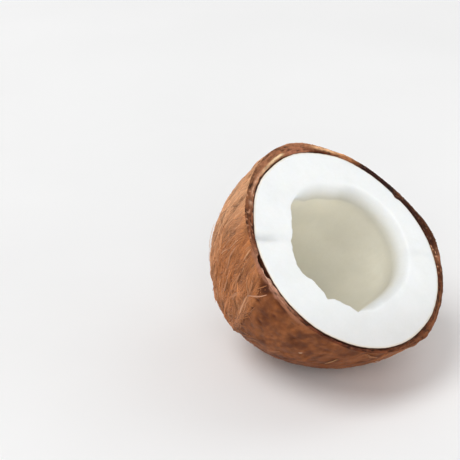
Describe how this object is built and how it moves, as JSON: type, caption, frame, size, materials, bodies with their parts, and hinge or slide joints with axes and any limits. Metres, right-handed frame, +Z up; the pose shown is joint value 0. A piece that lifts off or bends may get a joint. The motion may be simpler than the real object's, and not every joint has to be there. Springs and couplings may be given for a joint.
{
  "type": "coconut half",
  "caption": "Half of a mature coconut, cut across, with thick white meat round a deep hollow in a brown fibrous shell, lying tilted on its rounded side.",
  "frame": {"origin": "middle of the bounding box at the bottom, on the surface that the half lies on", "axes": "+Z up; the cut face looks up and towards -Y, its normal 41.8 degrees from +Z; +X to the right of someone who faces the cut"},
  "size_m": [0.103, 0.1024, 0.097],
  "materials": {
    "shell_coir": "matte, fibrous brown coir over hard shell",
    "coconut_meat": "smooth, moist, slightly translucent white"
  },
  "bodies": {
    "root": {"shell": "shell_coir", "meat": "coconut_meat"}
  },
  "joints": []
}
